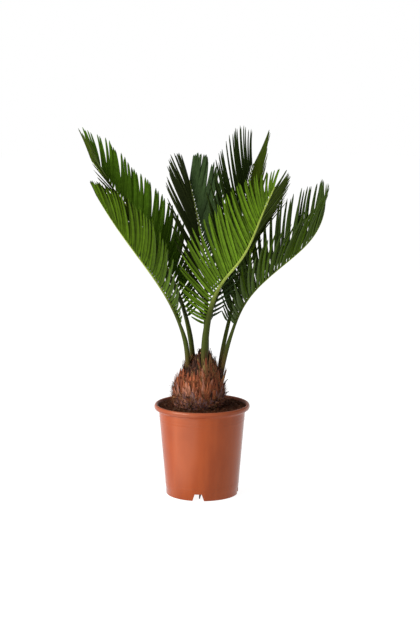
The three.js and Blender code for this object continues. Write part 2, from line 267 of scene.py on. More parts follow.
# %% Pot sizes, in millimetres
POT_SIDES = 256
FOOT_RADIUS = 72.0
FOOT_HEIGHT = 14.0
BODY_FOOT_RADIUS = 72.7
BODY_TOP_RADIUS = 85.8
BODY_TOP = 167.4
WALL = 1.9
FLOOR = 2.0
SKIRT = FOOT_RADIUS - WALL
LIP_RADIUS = 91.5
LIP_MIDDLE = 176.9
LIP_HALF_WIDTH = 3.5
LIP_HALF_HEIGHT = 5.2
LIP_TURNS = range(-75, 156, 15)
HUB_RADIUS = 10.0
RING_HEIGHTS = np.array([150.5, 156.5, 22.0])
RING_PROUD = np.array([0.45, 0.3, 0.3])
RING_HALF_HEIGHT = 1.1
ROW_STEP = 1.5
LIP_FILLET = [(0, 0), (0.4, 1.5), (1.3, 2.8), (2.8, 3.7), (4.4, 4.2), (5.8, 4.5)]  # out and up


def wall_radius(height):
    share = (height - FOOT_HEIGHT) / (BODY_TOP - FOOT_HEIGHT)
    return BODY_FOOT_RADIUS + (BODY_TOP_RADIUS - BODY_FOOT_RADIUS) * share


def oval(radius, height, half_width, half_height, turns):
    """Points of an oval section, at turns in degrees from straight out."""
    angles = np.radians(turns)
    return [(radius + half_width * math.cos(a), height + half_height * math.sin(a)) for a in angles]


# %% Pot profile
def pot_profile():
    """The wall's section, from the hub underneath, round the lip, to the floor inside."""
    low = FOOT_HEIGHT + FLOOR
    rows = [(HUB_RADIUS - 0.5, 0), (HUB_RADIUS, 0.5), (HUB_RADIUS + 0.6, FOOT_HEIGHT)]
    rows += [(SKIRT - 0.6, FOOT_HEIGHT), (SKIRT, 0.8), (SKIRT + 0.5, 0.2)]
    rows += oval(FOOT_RADIUS - 1.2, 1.2, 1.2, 1.2, [-80, -50, -20, 0])
    rows += [(FOOT_RADIUS + 0.2, FOOT_HEIGHT - 1.2), (BODY_FOOT_RADIUS, FOOT_HEIGHT + 0.4)]
    heights = np.arange(FOOT_HEIGHT + 2, BODY_TOP - 1, ROW_STEP)
    off = (heights[:, None] - RING_HEIGHTS) / RING_HALF_HEIGHT
    rows += zip(wall_radius(heights) + np.exp(-(off**2)) @ RING_PROUD, heights)
    rows += [(BODY_TOP_RADIUS + out, BODY_TOP + up) for out, up in LIP_FILLET]
    rows += oval(LIP_RADIUS, LIP_MIDDLE, LIP_HALF_WIDTH, LIP_HALF_HEIGHT, LIP_TURNS)
    rows += [(LIP_RADIUS - LIP_HALF_WIDTH - 0.6, LIP_MIDDLE), (BODY_TOP_RADIUS - WALL, BODY_TOP)]
    rows += [(wall_radius(low) - WALL, low + 1), (wall_radius(low) - WALL - 1, low)]
    return np.array(rows)


profile = pot_profile()
print("pot profile:", len(profile), "points, widest radius", round(profile[:, 0].max(), 1), "mm")

# %% [markdown]
# Under the floor four thin ribs run out from a hub to the foot band, and beside each of them a
# drain notch is cut up into the band, narrower at its top so that the mould lets go.

# %% Notches and floor ribs
RIB_AZIMUTHS = [-94, -4, 86, 176]
NOTCH_TURN = -2
NOTCH = [(-12.4, -2), (12.4, -2), (7, 13.6), (-7, 13.6)]
FLOOR_RIB = [(-1, 5), (1, 5), (0.8, 14.5), (-0.8, 14.5)]


def radial_bars(turn, inner, outer, outline):
    """Bars at the ribs, or a turn further, whose section is the outline [(sideways, height)]."""
    bars = []
    for azimuth in RIB_AZIMUTHS:
        out = polar(1, math.radians(azimuth + turn), 0)
        side = np.cross(UP, out)
        bars.append([[out * r + side * s + UP * z for s, z in outline] for r in (inner, outer)])
    return loft(np.array(bars))


def cut(piece, cutter):
    """Takes one mesh out of another for good."""
    modifier = piece.modifiers.new("cut", "BOOLEAN")
    modifier.operation = "DIFFERENCE"
    modifier.object = cutter
    modifier.solver = "EXACT"
    depsgraph = bpy.context.evaluated_depsgraph_get()
    piece.data = bpy.data.meshes.new_from_object(piece.evaluated_get(depsgraph))
    piece.modifiers.clear()
    bpy.data.objects.remove(cutter)


# %% [markdown]
# The plastic is satin, not glossy: coloured polypropylene with the soft unevenness that a mould
# leaves. Two close terracottas are mixed by cloudy noise, with paler streaks that run upwards.
# The lip is darker under its roll, which is painted shade, and paler along its top, which is a
# painted highlight; it is darker inside, and a fine grain in the bump spreads the highlight.

# %% Pot plastic
# where each part of the lip fades in: metres above the ground, or for its inside, off the axis
INSIDE_BAND_HEIGHTS = (0.172, 0.174)
LIP_INSIDE = (0.0884, 0.0902)
PAINTED_SHADE_UNDER_LIP = (0.1702, 0.1722)
LIP_FACE = (0.176, 0.18)
PAINTED_HIGHLIGHT_TOP = (0.178, 0.181)


def pot_plastic():
    finish = Finish("pot_plastic")
    cloud = finish.noise(14, detail=4)
    flow = finish.noise(9, detail=2, stretch=(5, 5, 0.5))
    grain = finish.noise(900, detail=2)
    body = finish.mix(paint(146, 60, 18), paint(137, 54, 15), finish.ramp(cloud, 0.35, 0.65))
    body = finish.mix(body, paint(160, 72, 28), finish.ramp(flow, 0.45, 0.7) * 0.4)
    flat = finish.here(stretch=(1, 1, 0))
    radius = finish.add("VectorMath", {"operation": "LENGTH"}, {0: flat}, output="Value")
    high = finish.reach("Z")
    # the inside of the lip, which is made darker and rougher
    inside_band = finish.ramp(high, *INSIDE_BAND_HEIGHTS) * (1 - finish.ramp(radius, *LIP_INSIDE))
    # painted shade: darker under the lip's roll, and less so on its outer face
    roll = finish.ramp(high, *PAINTED_SHADE_UNDER_LIP) * (1 - finish.ramp(high, *LIP_FACE) * 0.8)
    body = finish.mix(body, paint(118, 46, 16), roll * 0.55)
    # painted highlight: paler along the lip's top edge
    body = finish.mix(body, paint(180, 104, 76), finish.ramp(high, *PAINTED_HIGHLIGHT_TOP) * 0.6)
    body = finish.mix(body, paint(58, 36, 26), inside_band * finish.ramp(cloud, 0.2, 0.5))
    finish.bump(grain, 0.05, 0.0003)
    roughness = cloud * 0.1 + inside_band * 0.4 + 0.2
    return finish.wear(body, roughness, shine=0.36, shine_tint=(1, 0.94, 0.76))


POT_PLASTIC = pot_plastic()
# underneath, painted dark brown as shade on the floor ribs
PAINTED_SHADE_UNDER_POT = speckled("pot_painted_shade", (72, 34, 20), (40, 22, 14), scale=120, roughness=0.8)

# %% Build the pot
pot_rings = polar(profile[:, :1], full_turn(POT_SIDES), profile[:, 1:])
pot = make_piece("pot_moulded", loft(pot_rings[None]), [POT_PLASTIC])
notches = radial_bars(NOTCH_TURN, inner=SKIRT - 4, outer=SKIRT + 6, outline=NOTCH)
cut(pot, make_piece("notch_cutters", notches, [POT_PLASTIC]))
smooth_over(pot.data, sharp=35)
settle(pot, "pot", "pot")

floor_ribs = radial_bars(0, inner=HUB_RADIUS - 1, outer=SKIRT + 1, outline=FLOOR_RIB)
settle(make_piece("pot_floor_ribs", floor_ribs, [PAINTED_SHADE_UNDER_POT]), "pot")

# %% [markdown]
# ## The compost
# Moist compost is nearly black and crumbly. The surface is a disc of rings pushed up and down by
# smooth random waves, and over it lie loose crumbs, each a small jittered lump. One joined mesh
# of lumps is enough, because no one looks at a crumb twice.

# %% Compost surface
SOIL_EDGE = 176.5
SOIL_TOP = 177.8
SOIL_EDGE_RADIUS = 86.3
SOIL_FLAT_RADIUS = 42
SOIL_RINGS = 46
SOIL_SIDES = 160
SOIL_GAP = 0.4


def waves(x, y, seed, size, count=24):
    """Smooth random ups and downs over a plane, about size from crest to crest."""
    dice = np.random.default_rng(seed)
    total = 0
    for _ in range(count):
        turn, shift = dice.uniform(0, TURN, 2)
        step = TURN / (size * dice.uniform(0.6, 1.6))
        total = total + np.sin(step * (x * math.cos(turn) + y * math.sin(turn)) + shift)
    return total / math.sqrt(count)


def soil_height(x, y):
    edge = SOIL_EDGE_RADIUS
    share = np.clip((np.hypot(x, y) - SOIL_FLAT_RADIUS) / (edge - SOIL_FLAT_RADIUS), 0, 1)
    level = SOIL_TOP - (SOIL_TOP - SOIL_EDGE) * share**1.4
    return level + 0.6 * waves(x, y, seed=3, size=22) + 0.35 * waves(x, y, seed=4, size=7)


def soil_plug():
    """The compost as one tube: up the pot's wall, and in over the top in ever smaller rings."""
    turns = full_turn(SOIL_SIDES)
    radii = SOIL_EDGE_RADIUS * np.linspace(1, 0, SOIL_RINGS, endpoint=False) ** 0.8
    top = polar(radii[:, None], turns, 0)
    top[..., 2] = soil_height(top[..., 0], top[..., 1])
    low = FOOT_HEIGHT + FLOOR + SOIL_GAP
    foot = polar(wall_radius(low) - WALL - 1, turns, low)
    wall = polar(BODY_TOP_RADIUS - WALL - SOIL_GAP, turns, BODY_TOP)
    return loft(np.concatenate([[foot, wall], top])[None])


def compost():
    finish = Finish("compost")
    crumbs = finish.noise(420, detail=5, rough=0.7)
    patches = finish.noise(45, detail=3)
    tone = finish.mix(paint(38, 17, 5), paint(104, 54, 25), finish.ramp(crumbs, 0.42, 0.72))
    tone = finish.mix(tone, paint(60, 25, 7), finish.ramp(patches, 0.45, 0.7) * 0.5)
    finish.bump(crumbs, 0.8, 0.002)
    return finish.wear(tone, roughness=0.95 - patches * 0.15, shine=0.15)


COMPOST = compost()
settle(make_piece("compost_surface", soil_plug(), [COMPOST], sharp=60), "soil", "soil")

# %% Crumbs
GOLDEN = (1 + math.sqrt(5)) / 2
CORNERS = [(0, a, b * GOLDEN) for a in (1, -1) for b in (1, -1)]
LUMP = unit(np.concatenate([np.roll(CORNERS, shift, 1) for shift in (0, 2, 1)]))
HAIR = 1e-6


def outer_triangles(points):
    """The triangles that bound a small convex lump, each facing out."""
    found = []
    for i, j, k in itertools.combinations(range(len(points)), 3):
        heights = (points - points[i]) @ np.cross(points[j] - points[i], points[k] - points[i])
        if (heights < HAIR).all():
            found.append((i, j, k))
        elif (heights > -HAIR).all():
            found.append((i, k, j))
    return np.array(found)


LUMP_FACES = outer_triangles(LUMP)


def lumps(places, sizes, seed):
    """Jittered, slightly flattened lumps at the places, as one (points, faces) pair."""
    dice = np.random.default_rng(seed)
    count = len(places)
    stretch = dice.uniform(0.6, 1.3, (count, 1, 3)) * (1, 1, 0.7)
    shape = LUMP * dice.uniform(0.65, 1.2, (count, len(LUMP), 1)) * stretch * sizes[:, None, None]
    points = shape + places[:, None]
    faces = LUMP_FACES + len(LUMP) * np.arange(count)[:, None, None]
    return points.reshape(-1, 3), faces.reshape(-1, 3).tolist()


def scatter(count, inner, outer, seed):
    """Even random places on the compost, in a ring, with sizes in millimetres."""
    dice = np.random.default_rng(seed)
    radius = np.sqrt(dice.uniform(inner**2, outer**2, count))
    places = polar(radius, dice.uniform(0, TURN, count), 0)
    places[:, 2] = soil_height(places[:, 0], places[:, 1]) + 0.2
    return places, dice.gamma(3.0, 0.42, count).clip(0.5, 3.2)


places, sizes = scatter(count=2200, inner=36, outer=85, seed=21)
crumbs = lumps(places, sizes, seed=22)
settle(make_piece("compost_crumbs", crumbs, [COMPOST], sharp=15), "soil")

BARK_BITS = speckled("bark_bits", (96, 66, 46), (52, 34, 24), scale=500, roughness=0.9,
                     edges=(0.4, 0.6), relief=(0.6, 0.001))
places, sizes = scatter(count=520, inner=44, outer=84, seed=31)
bark = lumps(places, sizes * 1.1, seed=32)
settle(make_piece("compost_bark", bark, [BARK_BITS], sharp=15), "soil")

# %% [markdown]
# ## The rule that every frond follows
# A frond is a stiff rib that leans further and further out, with leaflets in two raised wings.
# So one table holds each frond's habit, and one rule turns it into curves. `lean` is how far the
# rib leans at even steps, `roll` how far it turns about its own line, `bare` the stalk below the
# first leaflet, and `girth` its share of the common thickness. `rise` is how far each wing stands
# up from flat, `angle` how far a leaflet stands off the rib, `bend` how much it curves forward,
# `pitch` the room between neighbours, `leaflet` the longest one, and `lengths` and `broad` the
# shares of it and the breadths. Lists run from the lowest leaflet to the highest.

# %% Frond habits: millimetres and degrees
FRONDS = {
    "frond_right_front": dict(
        foot=(4.9, -22, 264), azimuth=-50, length=432, lean=[-2, 19.2, 49.1, 30, 34.6],
        bare=84, girth=1.16, pitch=6.8, leaflet=142, broad=[4.8, 7.4, 7.6, 6.4, 4],
        roll=[4, 4, -7, -12], rise=[24, 46, 30, 8], angle=[72, 59, 50, 46, 38, 12], bend=12,
        lengths=[0.24, 0.64, 0.92, 1, 0.94, 0.82, 0.68, 0.5, 0.3]),
    "frond_left_front": dict(
        foot=(-28.6, -14, 258.4), azimuth=198, length=395.7, lean=[-2, 23.2, 35.3, 35.7, 29.5],
        bare=94, girth=0.9, pitch=6.8, leaflet=118, broad=[5, 7.6, 7.8, 6.6, 4.8],
        roll=[-10, -3], rise=[10, 46, 34], angle=[72, 50, 14], bend=16,
        lengths=[0.22, 0.62, 0.9, 1, 0.98, 0.9, 0.78, 0.56, 0.27]),
    "frond_right": dict(
        foot=(39, -6, 247.5), azimuth=0, length=401.8, lean=[10.6, 20.5, 46.7, 46, 4.2],
        bare=100, girth=0.8, pitch=7.5, leaflet=138, broad=[5.6, 8.2, 6.8, 6, 4.8],
        roll=[4, 12, 14, 2], rise=[34, 50, 48, 14], angle=[72, 60, 48, 26], bend=10,
        lengths=[0.22, 0.6, 0.88, 1, 0.98, 0.94, 0.84, 0.64, 0.32]),
    "frond_left_back": dict(
        foot=(-17.8, 8, 252), azimuth=162, length=472, lean=[1, 17, 32.2, 39, 40.1],
        bare=103, girth=0.9, pitch=8.6, leaflet=110, broad=[6, 9, 9.4, 7.8, 4.8],
        roll=[-6, -18, -25, -8], rise=[30, 28, 28, 78], angle=[72, 54, 48, 43, 39, 26], bend=12,
        lengths=[0.22, 0.62, 0.9, 0.96, 0.94, 0.9, 0.84, 0.78, 0.66]),
    "frond_back_right": dict(
        foot=(34.3, 10, 243.6), azimuth=60, length=431.1, lean=[14, 27.4, 12, 13.8, 31.3],
        bare=105, girth=0.66, pitch=8.4, leaflet=180, broad=[5.4, 8.6, 8.4, 6.2, 3.4],
        roll=[24, 17], rise=[64, 60, 44], angle=[72, 40, 27], bend=17,
        lengths=[0.16, 0.5, 0.84, 1, 0.98, 0.92, 0.82, 0.62, 0.36]),
    "frond_back": dict(
        foot=(7.9, 16, 256.5), azimuth=104, length=407.1, lean=[-1.2, 0.3, 18.8, 45.6, 44.3],
        bare=95, girth=0.9, pitch=8, leaflet=150, broad=[4.6, 5.4, 6.8, 9.6, 10],
        roll=[7, 2], rise=[48, 26, 64], angle=[71, 34, 33], bend=14,
        lengths=[0.2, 0.6, 0.9, 1, 0.98, 0.92, 0.82, 0.62, 0.36]),
}

# %% Ribs as curves
RIB_STEPS = 160
RIB_SUNK = 13
RIB_WIDTH = [14, 12, 7, 4.8, 3.4, 2.2]
RIB_THICK_SHARE = 0.84


def rib_curve(frond):
    """The frond, with points along its rib and where ahead and the upper face lie there."""
    s = (np.arange(RIB_STEPS) + 0.5) / RIB_STEPS
    lean = np.radians(along(frond["lean"], s))[:, None]
    roll = np.radians(along(frond["roll"], s))[:, None]
    out = polar(1, math.radians(frond["azimuth"]), 0)
    ahead = out * np.sin(lean) + UP * np.cos(lean)
    inner = UP * np.sin(lean) - out * np.cos(lean)
    face = inner * np.cos(roll) + np.cross(ahead, inner) * np.sin(roll)
    steps = np.cumsum(ahead, 0) * frond["length"] / RIB_STEPS
    points = np.array(frond["foot"]) + np.concatenate([np.zeros((1, 3)), steps])
    return frond | dict(points=points, ahead=ahead, face=face)


def rib_at(rib, distance):
    """Place and directions at distances along the rib; below its foot it runs straight on."""
    place = np.asarray(distance) / rib["length"] * RIB_STEPS
    i = np.clip(np.floor(place).astype(int), 0, RIB_STEPS - 1)
    onward = ((place - i) * rib["length"] / RIB_STEPS)[:, None]
    middle = rib["points"][i] + rib["ahead"][i] * onward
    j = np.clip(place - 0.5, 0, RIB_STEPS - 1.001)
    k, f = j.astype(int), (j % 1)[:, None]
    ahead = unit(rib["ahead"][k] * (1 - f) + rib["ahead"][k + 1] * f)
    face = unit(rib["face"][k] * (1 - f) + rib["face"][k + 1] * f)
    return middle, ahead, face, np.cross(ahead, face)


def rib_half_width(rib, distance):
    return along(RIB_WIDTH, distance / rib["length"]) / 2 * rib["girth"]


RIBS = {name: rib_curve(frond) for name, frond in FRONDS.items()}
for name, rib in RIBS.items():
    print(name, "tip at", rib["points"][-1].round(), "mm")

# %% [markdown]
# ## The trunk
# A sago palm's trunk is a starchy core clad in the feet of old fronds: woody tongues laid like
# roof tiles in a spiral, each with a dark, dry point, and tangled in brown wool. Narrow upright
# scales crowd round the growing tip and clasp the stalks. The core is a turned profile that
# hardly shows. Each tongue is a flattened tube that bends outwards at its tip.

# %% Trunk core
TRUNK_X = -6.6
TRUNK_FOOT = 178.0
TRUNK_SHIFT = 8.0
TRUNK_TIP = 113.0
TRUNK_BEND = (30, 60)  # from what height it shifts sideways, and over how much
TRUNK_HEIGHTS = [0, 10, 24, 38, 52, 66, 76, 86, 97, 108]
TRUNK_RADII = [45, 48.5, 50, 48, 42, 35.5, 29.5, 21, 13, 6]
CORE_SIDES = 72
CORE_INSET = 2.0


def trunk_radius(height):
    return np.interp(height, TRUNK_HEIGHTS, TRUNK_RADII)


def trunk_axis(height):
    start, over = TRUNK_BEND
    return TRUNK_X + TRUNK_SHIFT * eased((height - start) / over)


def trunk_core():
    heights = np.append(np.linspace(-1.5, TRUNK_HEIGHTS[-1], 56), TRUNK_TIP)[:, None]
    radii = np.append(trunk_radius(heights[:-1]) - CORE_INSET, [[0.3]], 0)
    rings = polar(radii, full_turn(CORE_SIDES), heights + TRUNK_FOOT)
    rings[..., 0] += trunk_axis(heights)
    return loft(rings[None])


# %% Husk: the dry skin of old leaf feet
def husk(name, light, dark):
    """Streaked along its length, and darker in random patches."""
    finish = Finish("husk_" + name)
    light, dark = paint(*light), paint(*dark)
    streaks = finish.noise(260, detail=4, stretch=(1, 1, 0.22), rough=0.65)
    patches = finish.noise(60, detail=3)
    tone = finish.mix(light, dark, finish.ramp(streaks, 0.38, 0.66))
    tone = finish.mix(tone, dark, finish.ramp(patches, 0.5, 0.75) * 0.6)
    finish.bump(streaks, 0.9, 0.0015)
    return finish.wear(tone, roughness=0.85 - patches * 0.1, shine=0.15)


HUSKS = [
    husk("orange", (164, 92, 58), (116, 60, 35)),
    husk("red", (134, 70, 44), (86, 43, 26)),
    husk("pink", (168, 112, 88), (118, 71, 54)),
    husk("tan", (164, 122, 80), (108, 74, 44)),
    husk("olive", (124, 102, 60), (76, 58, 32)),
    husk("mauve", (132, 98, 94), (78, 54, 53)),
    husk("dark", (64, 38, 27), (32, 18, 12)),
]
ORANGE, RED, PINK, TAN, OLIVE, MAUVE, DARK = range(7)
settle(make_piece("trunk_core", trunk_core(), [HUSKS[DARK]]), "trunk", "trunk")

# %% Tongues
STALK_FOOT = 60  # how far up a stalk nothing on the trunk may run into it


def on_trunk(heights, azimuths, sunk=1.4):
    """Places on the trunk's skin, with the directions up along it, sideways and outwards."""
    radius = trunk_radius(heights)
    slope = (trunk_radius(heights + 4) - radius) / 4
    out = polar(1, azimuths, 0)
    up = unit(out * slope[:, None] + UP)
    side = np.cross(UP, out)
    normal = np.cross(side, up)
    root = np.stack([trunk_axis(heights), 0 * heights, TRUNK_FOOT + heights], -1)
    return root + out * radius[:, None] - normal * sunk, up, side, normal


def tongues(frames, length, half_width, tilt, seed, thick=1.3, rows=10, cols=7):
    """Flattened, pointed tubes that lie along the frames and turn out at their tips."""
    root, up, side, normal = frames
    dice = np.random.default_rng(seed)
    count = len(root)
    t = np.linspace(0, 1, rows)
    # each turns out from the first angle of its tilt to the second, and leans and curls sideways
    lift = np.radians(tilt[0] + (tilt[1] - tilt[0]) * t**1.5) * dice.uniform(0.6, 1.35, (count, 1))
    lean = dice.normal(0, 0.1, (count, 1)) * t + dice.normal(0, 0.09, (count, 1)) * t**2
    sway = lean * length[:, None]
    step = length[:, None] / (rows - 1)
    ahead = np.cumsum(np.cos(lift) * step, 1) - step
    outward = np.cumsum(np.sin(lift) * step, 1)
    middle = root[:, None] + up[:, None] * ahead[..., None] + normal[:, None] * outward[..., None]
    middle = middle + side[:, None] * sway[..., None]
    face = normal[:, None] * np.cos(lift)[..., None] - up[:, None] * np.sin(lift)[..., None]
    # broad to near its point, domed across with creases, and thin at its edges
    width = (half_width[:, None] * (1 - t**1.7) ** 0.9 + 0.2)[..., None]
    v = np.linspace(-1, 1, cols)
    crease = dice.normal(0, 0.35, (count, 1, cols)) * (1 - t)[:, None]
    crown = (1 - v**2) * 0.36 * width + crease
    depth = thick * (1 - 0.6 * t)[:, None] * (1.02 - 0.9 * v**2) + 0.15
    over = middle[:, :, None] + side[:, None, None] * (width * v)[..., None]
    over = over + face[:, :, None] * crown[..., None]
    under = over - face[:, :, None] * depth[..., None]
    return np.concatenate([over, under[:, :, ::-1]], 2)


def clear_of_stalks(rings, least=0.6, share=0.88):
    """Which tubes have nearly all their points outside every frond's stalk."""
    points = rings.reshape(len(rings), -1, 1, 3)
    distance = np.arange(-RIB_SUNK, STALK_FOOT, 3.0)
    clear = np.ones(len(rings), bool)
    for rib in RIBS.values():
        gaps = np.linalg.norm(points - rib_at(rib, distance)[0], axis=-1)
        clear &= (gaps - rib_half_width(rib, distance) > least).all(2).mean(1) > share
    return clear


# %% [markdown]
# Old leaf feet change colour as they age: mauve near the soil, patches of red, orange and pink
# half way up, and olive or tan where they are youngest. Each tongue is dealt one plain tint by
# its place and a seeded draw. The last rows of some are dark and dry, and all that stand in two
# clefts are dealt the dark tint as painted shade. A few stand out like hooks.

# %% Clad the trunk
GOLDEN_ANGLE = math.pi * (3 - math.sqrt(5))
DARK_TIP_SHARE = 0.25
LOOSE_SHARE = 0.08
LOOSE_TILT = 2.6
# the tongues in these clefts are dealt the dark tint as painted shade
SHADED = [(-121, 60, 13), (-47, 45, 8)]  # azimuth, height and reach of the dark clefts
CLEFT_ARC = 34  # millimetres round the trunk to a radian, for both arcs
PATCH_ARC = 45
PATCH_SIZE = 32
PATCH_SEED = 1383
PATCH_EDGES = [-0.4, 0.7]  # red below the first, pink above the second
OLD_BELOW = 28
YOUNG_FROM = 44
YOUNG_OVER = 40


def deal_tints(heights, azimuths, seed):
    """Mauve below, patches of red, orange and pink in the middle, olive and tan on top."""
    dice = np.random.default_rng(seed)
    count = len(heights)
    patch = waves(azimuths % TURN * PATCH_ARC, heights, PATCH_SEED, PATCH_SIZE)
    patch = patch + dice.normal(0, 0.45, count)
    tints = np.array([RED, ORANGE, PINK])[np.searchsorted(PATCH_EDGES, patch)]
    low = dice.choice([MAUVE, MAUVE, MAUVE, PINK, DARK], count)
    tints = np.where(dice.random(count) < 1.2 - heights / OLD_BELOW, low, tints)
    high = dice.choice([TAN, OLIVE, PINK, RED], count, p=[0.3, 0.3, 0.14, 0.26])
    tints = np.where(dice.random(count) < (heights - YOUNG_FROM) / YOUNG_OVER, high, tints)
    # painted shade: tongues in the clefts get the dark tint
    for azimuth, height, reach in SHADED:
        turn = azimuths - math.radians(azimuth)
        near = np.hypot(CLEFT_ARC * np.sin(turn), heights - height) < reach
        tints = np.where(near & (np.cos(turn) > 0), DARK, tints)
    return tints


def tongue_tints(rings, tints, dark_rows, dark_share, seed):
    """The tint on every face, but the last rows of a share of the tongues are dark."""
    count, rows, cols = rings.shape[:3]
    walls = np.broadcast_to(tints[:, None, None], (count, rows - 1, cols)).copy()
    dark = np.random.default_rng(seed).random(count) < dark_share
    walls[dark, rows - 1 - dark_rows:] = DARK
    return loft_tints(walls)


def clad(name, count, heights, length, half_width, tilt, seed, dark_rows):
    """A spiral of tongues between two heights, each value running from foot to top."""
    dice = np.random.default_rng(seed)
    share = (np.arange(count) + 0.5) / count
    height = np.interp(share, [0, 1], heights) + dice.normal(0, 1.6, count)
    azimuth = np.arange(count) * GOLDEN_ANGLE + dice.normal(0, 0.12, count)
    long = np.interp(share, [0, 1], length) * dice.uniform(0.75, 1.25, count)
    half = np.interp(share, [0, 1], half_width) * dice.uniform(0.75, 1.3, count)
    loose = np.where(dice.random(count) < LOOSE_SHARE, LOOSE_TILT, 1.0)[:, None]
    rings = tongues(on_trunk(height, azimuth), long, half, (tilt[0], tilt[1] * loose), seed + 1)
    kept = clear_of_stalks(rings)
    tints = deal_tints(height, azimuth, seed + 2)[kept]
    tints = tongue_tints(rings[kept], tints, dark_rows, DARK_TIP_SHARE, seed + 3)
    settle(make_piece(name, loft(rings[kept]), HUSKS, tints, sharp=50), "trunk")


clad("trunk_tongues", count=700, heights=(-6, 74), length=(14, 38), half_width=(3.8, 4.6),
     tilt=(4, 12), seed=41, dark_rows=1)
clad("trunk_crown_scales", count=150, heights=(58, 94), length=(38, 26), half_width=(3.0, 2.0),
     tilt=(3, 9), seed=51, dark_rows=2)

# %% Knobs: the worn stubs of the oldest leaf feet
KNOB_COUNT = 900
KNOB_TINTS = [MAUVE, PINK, RED, TAN, DARK]
KNOB_SHARES = [0.4, 0.14, 0.16, 0.08, 0.22]
dice = np.random.default_rng(59)
heights = dice.uniform(-2, 1, KNOB_COUNT) + dice.gamma(2.0, 5.0, KNOB_COUNT).clip(0, 30)
places = on_trunk(heights, dice.uniform(0, TURN, KNOB_COUNT), sunk=-1.6)[0]
knobs = lumps(places, dice.uniform(0.9, 2.3, KNOB_COUNT), seed=60)
tints = np.repeat(dice.choice(KNOB_TINTS, KNOB_COUNT, p=KNOB_SHARES), len(LUMP_FACES))
settle(make_piece("trunk_knobs", knobs, HUSKS, tints, sharp=30), "trunk")

# %% Hooks: the dry points that stand out at the sides and round the crown
# azimuth, height of the root above the trunk's foot, length
HOOKS = [(178, 66, 17), (183, 38, 12), (-8, 58, 18), (-3, 37, 20), (3, 20, 13),
         (70, 52, 15), (115, 30, 16), (-115, 20, 13), (38, 24, 15), (142, 58, 14),
         (-40, 88, 30), (-20, 84, 26), (-58, 82, 27), (-30, 76, 25), (-8, 78, 22), (-140, 86, 22),
         (20, 86, 24), (60, 84, 22), (100, 86, 20), (160, 80, 20)]

azimuth, height, length = np.array(HOOKS, float).T
half_width = np.full(len(HOOKS), 2.8)
frames = on_trunk(height, np.radians(azimuth), sunk=0.4)
hooks = tongues(frames, length, half_width, tilt=(22, 58), seed=138, thick=2.4)
hooks = hooks[clear_of_stalks(hooks)]
tints = np.full(len(hooks), RED)
tints = tongue_tints(hooks, tints, dark_rows=6, dark_share=1, seed=56)
settle(make_piece("trunk_hooks", loft(hooks), HUSKS, tints, sharp=50), "trunk")

# %% [markdown]
# Dry scales also clasp each stalk where it leaves the trunk. A scale runs along the stalk's skin,
# so the code follows that line back down until it is inside the trunk, and starts the scale there.
# The front stalk rises from the middle of the crown, so its scales are the tallest.

# %% Sheaths round the stalks
SHEATH_SCALES = 16
SHEATH_TOPS = {"frond_right_front": (10, 34), "frond_back": (6, 22)}
COMMON_SHEATH_TOPS = (3, 15)
SHEATH_OFF = 0.8
SHEATH_REACH = 36
SHEATH_TINTS = [RED, PINK, TAN, OLIVE, DARK]
SHEATH_SHARES = [0.24, 0.16, 0.22, 0.18, 0.2]


def sheath(name, rib, seed):
    """Tongues that leave the trunk's skin along a stalk and end a little way up it."""
    dice = np.random.default_rng(seed)
    turn = np.arange(SHEATH_SCALES) * GOLDEN_ANGLE + dice.normal(0, 0.2, SHEATH_SCALES)
    turn = turn[:, None, None]
    back = np.arange(0.0, -SHEATH_REACH, -1)
    middle, ahead, face, side = rib_at(rib, back)
    outward = face * np.cos(turn) + side * np.sin(turn)
    line = middle + outward * (rib_half_width(rib, back) + SHEATH_OFF)[:, None]
    height = line[..., 2] - TRUNK_FOOT
    inside = np.hypot(line[..., 0] - trunk_axis(height), line[..., 1]) < trunk_radius(height) - 1
    start = np.where(inside.any(1), inside.argmax(1), len(back) // 2)
    start = np.minimum(start + 2, len(back) - 1)
    pick = np.arange(SHEATH_SCALES)
    normal = outward[pick, start]
    tops = dice.uniform(*SHEATH_TOPS.get(name, COMMON_SHEATH_TOPS), SHEATH_SCALES)
    up = ahead[start]
    frames = line[pick, start], up, np.cross(up, normal), normal
    half = dice.uniform(1.8, 4.0, SHEATH_SCALES)
    return tongues(frames, tops - back[start], half, tilt=(1, 9), seed=seed + 1, thick=0.9)


sheaths = [sheath(name, rib, seed=60 + 5 * i) for i, (name, rib) in enumerate(RIBS.items())]
sheaths = np.concatenate(sheaths)
tints = np.random.default_rng(90).choice(SHEATH_TINTS, len(sheaths), p=SHEATH_SHARES)
tints = tongue_tints(sheaths, tints, dark_rows=3, dark_share=0.6, seed=91)
settle(make_piece("stalk_sheaths", loft(sheaths), HUSKS, tints, sharp=50), "trunk")

# %% [markdown]
# Brown wool fills the gaps between the tongues. Particles or hair curves would not survive the
# export, so each strand is a real three-sided thread that wanders as it grows, and all of them
# are one mesh.

# %% Wool
WOOL_TONES = {
    "wool_gold": [(178, 132, 88), (132, 88, 54)],
    "wool_fox": [(150, 84, 56), (96, 50, 34)],
    "wool_umber": [(96, 66, 50), (58, 38, 30)],
}
WOOLS = [
    speckled(name, *tones, scale=700, roughness=0.95, relief=(0.4, 0.0005), shine=0.1)
    for name, tones in WOOL_TONES.items()
]
STRAND_ROWS = 5
STRAND_ROUND = 3


